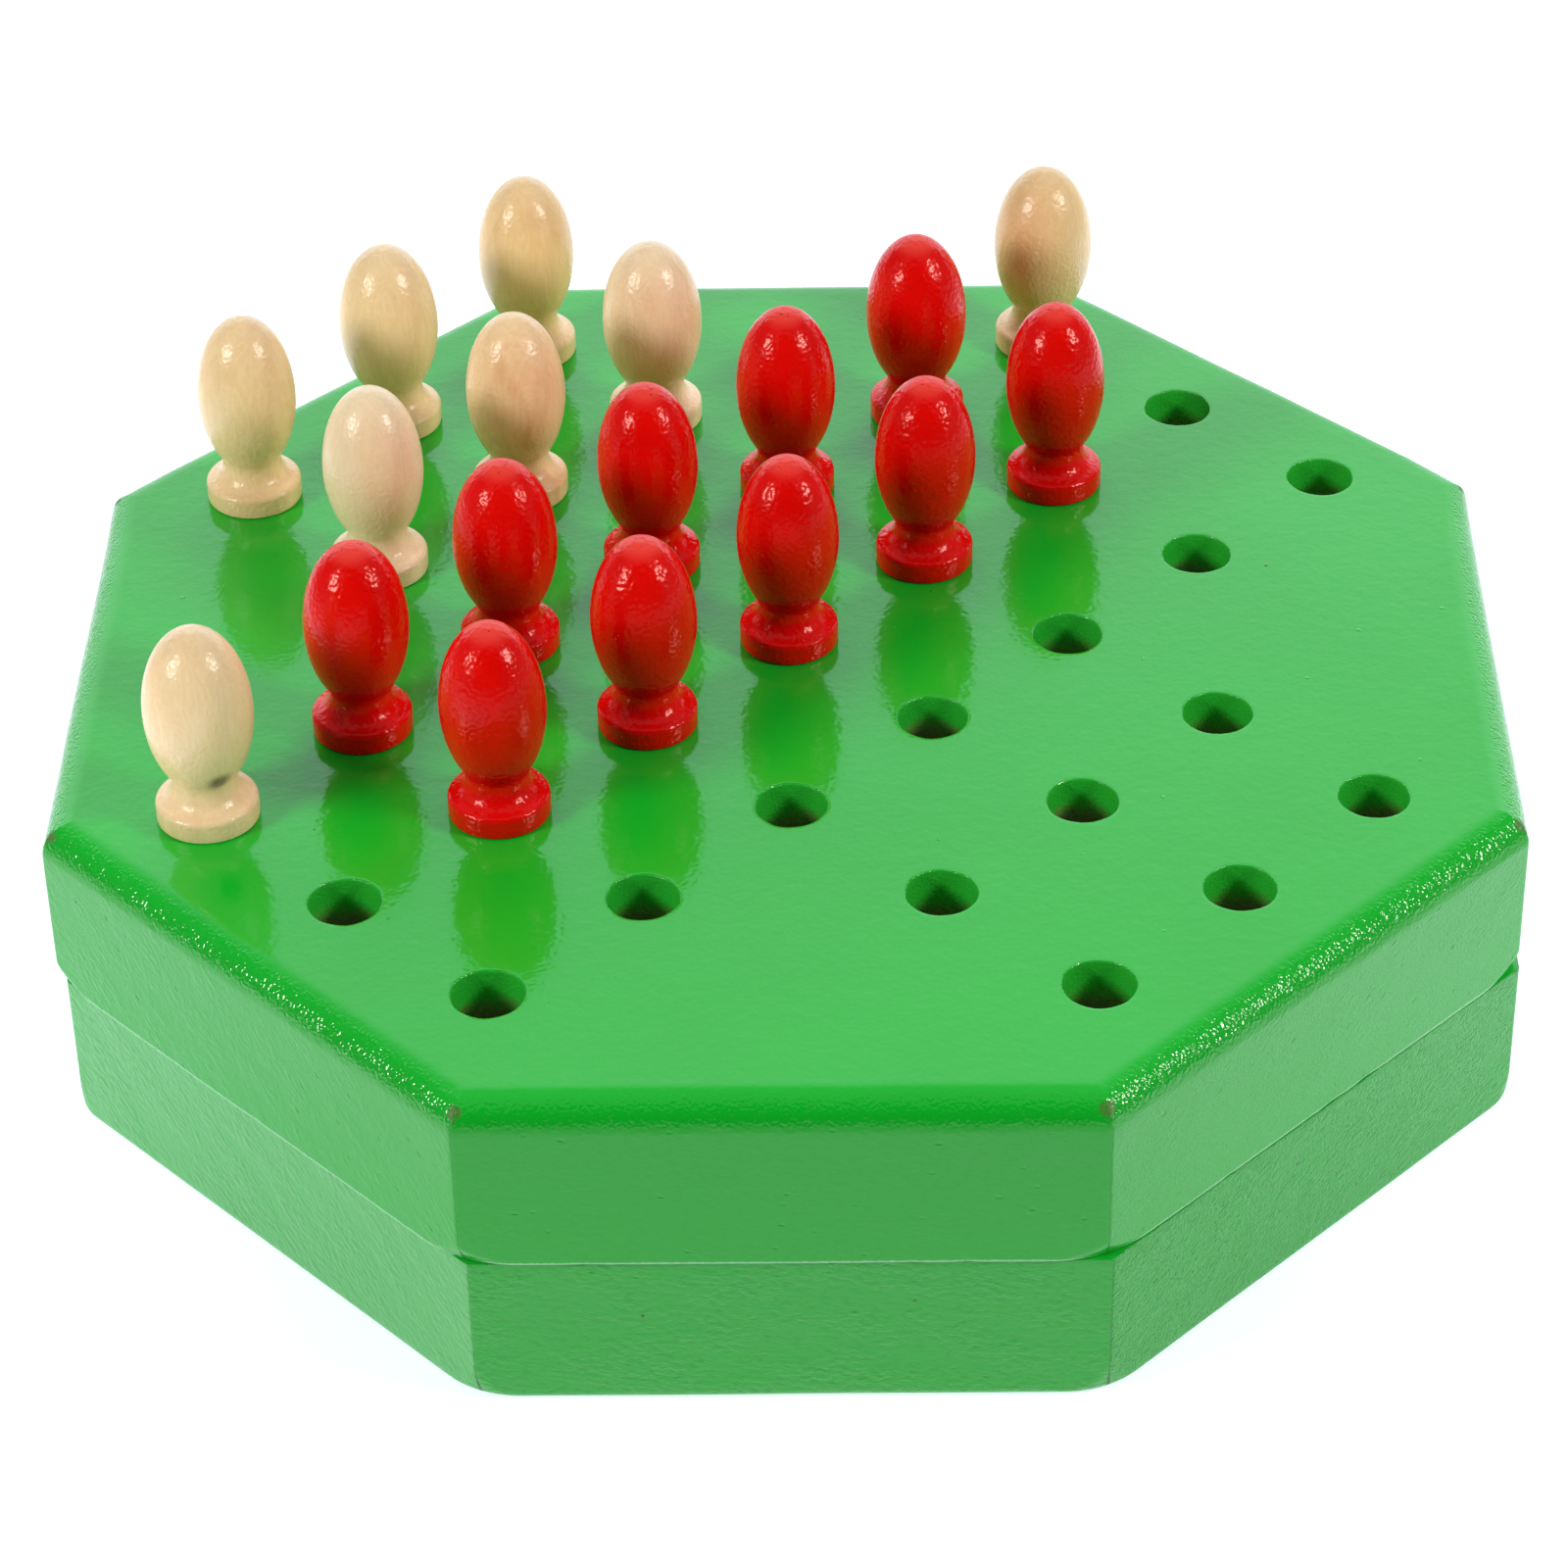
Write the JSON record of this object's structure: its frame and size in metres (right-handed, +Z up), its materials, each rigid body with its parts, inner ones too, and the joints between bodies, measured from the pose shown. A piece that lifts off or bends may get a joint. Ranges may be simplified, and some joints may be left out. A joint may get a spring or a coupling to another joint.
{
  "type": "peg solitaire box",
  "caption": "Octagonal green peg solitaire board that is the lid of a shallow storage tray, with turned egg-headed pegs standing in blind holes laid out as a cross.",
  "frame": {"origin": "centre of the tray's underside, on the surface the box stands on", "axes": "+Z up through the boards, -Y out of the front side of the octagon, +X to the right"},
  "size_m": [0.1446, 0.1446, 0.0579],
  "materials": {
    "green_lacquer": "gloss green lacquer on fibreboard",
    "varnished_wood": "clear varnish on turned pale wood",
    "red_lacquer": "gloss red lacquer on turned wood"
  },
  "bodies": {
    "tray": {"tray": "green_lacquer"},
    "lid": {"peg_board": "green_lacquer"},
    "natural_peg_1": {"natural_peg_1": "varnished_wood"},
    "natural_peg_2": {"natural_peg_2": "varnished_wood"},
    "natural_peg_3": {"natural_peg_3": "varnished_wood"},
    "natural_peg_4": {"natural_peg_4": "varnished_wood"},
    "natural_peg_5": {"natural_peg_5": "varnished_wood"},
    "natural_peg_6": {"natural_peg_6": "varnished_wood"},
    "natural_peg_7": {"natural_peg_7": "varnished_wood"},
    "natural_peg_8": {"natural_peg_8": "varnished_wood"},
    "red_peg_1": {"red_peg_1": "red_lacquer"},
    "red_peg_2": {"red_peg_2": "red_lacquer"},
    "red_peg_3": {"red_peg_3": "red_lacquer"},
    "red_peg_4": {"red_peg_4": "red_lacquer"},
    "red_peg_5": {"red_peg_5": "red_lacquer"},
    "red_peg_6": {"red_peg_6": "red_lacquer"},
    "red_peg_7": {"red_peg_7": "red_lacquer"},
    "red_peg_8": {"red_peg_8": "red_lacquer"},
    "red_peg_9": {"red_peg_9": "red_lacquer"},
    "red_peg_10": {"red_peg_10": "red_lacquer"}
  },
  "joints": [
    {"name": "lid_lift", "type": "slide", "parent": "tray", "child": "lid", "axis": [0, 0, 1], "range_m": [0, 0.06]},
    {"name": "natural_peg_1_lift", "type": "slide", "parent": "lid", "child": "natural_peg_1", "axis": [0, 0, 1], "range_m": [0, 0.02]},
    {"name": "natural_peg_2_lift", "type": "slide", "parent": "lid", "child": "natural_peg_2", "axis": [0, 0, 1], "range_m": [0, 0.02]},
    {"name": "natural_peg_3_lift", "type": "slide", "parent": "lid", "child": "natural_peg_3", "axis": [0, 0, 1], "range_m": [0, 0.02]},
    {"name": "natural_peg_4_lift", "type": "slide", "parent": "lid", "child": "natural_peg_4", "axis": [0, 0, 1], "range_m": [0, 0.02]},
    {"name": "natural_peg_5_lift", "type": "slide", "parent": "lid", "child": "natural_peg_5", "axis": [0, 0, 1], "range_m": [0, 0.02]},
    {"name": "natural_peg_6_lift", "type": "slide", "parent": "lid", "child": "natural_peg_6", "axis": [0, 0, 1], "range_m": [0, 0.02]},
    {"name": "natural_peg_7_lift", "type": "slide", "parent": "lid", "child": "natural_peg_7", "axis": [0, 0, 1], "range_m": [0, 0.02]},
    {"name": "natural_peg_8_lift", "type": "slide", "parent": "lid", "child": "natural_peg_8", "axis": [0, 0, 1], "range_m": [0, 0.02]},
    {"name": "red_peg_1_lift", "type": "slide", "parent": "lid", "child": "red_peg_1", "axis": [0, 0, 1], "range_m": [0, 0.02]},
    {"name": "red_peg_2_lift", "type": "slide", "parent": "lid", "child": "red_peg_2", "axis": [0, 0, 1], "range_m": [0, 0.02]},
    {"name": "red_peg_3_lift", "type": "slide", "parent": "lid", "child": "red_peg_3", "axis": [0, 0, 1], "range_m": [0, 0.02]},
    {"name": "red_peg_4_lift", "type": "slide", "parent": "lid", "child": "red_peg_4", "axis": [0, 0, 1], "range_m": [0, 0.02]},
    {"name": "red_peg_5_lift", "type": "slide", "parent": "lid", "child": "red_peg_5", "axis": [0, 0, 1], "range_m": [0, 0.02]},
    {"name": "red_peg_6_lift", "type": "slide", "parent": "lid", "child": "red_peg_6", "axis": [0, 0, 1], "range_m": [0, 0.02]},
    {"name": "red_peg_7_lift", "type": "slide", "parent": "lid", "child": "red_peg_7", "axis": [0, 0, 1], "range_m": [0, 0.02]},
    {"name": "red_peg_8_lift", "type": "slide", "parent": "lid", "child": "red_peg_8", "axis": [0, 0, 1], "range_m": [0, 0.02]},
    {"name": "red_peg_9_lift", "type": "slide", "parent": "lid", "child": "red_peg_9", "axis": [0, 0, 1], "range_m": [0, 0.02]},
    {"name": "red_peg_10_lift", "type": "slide", "parent": "lid", "child": "red_peg_10", "axis": [0, 0, 1], "range_m": [0, 0.02]}
  ]
}
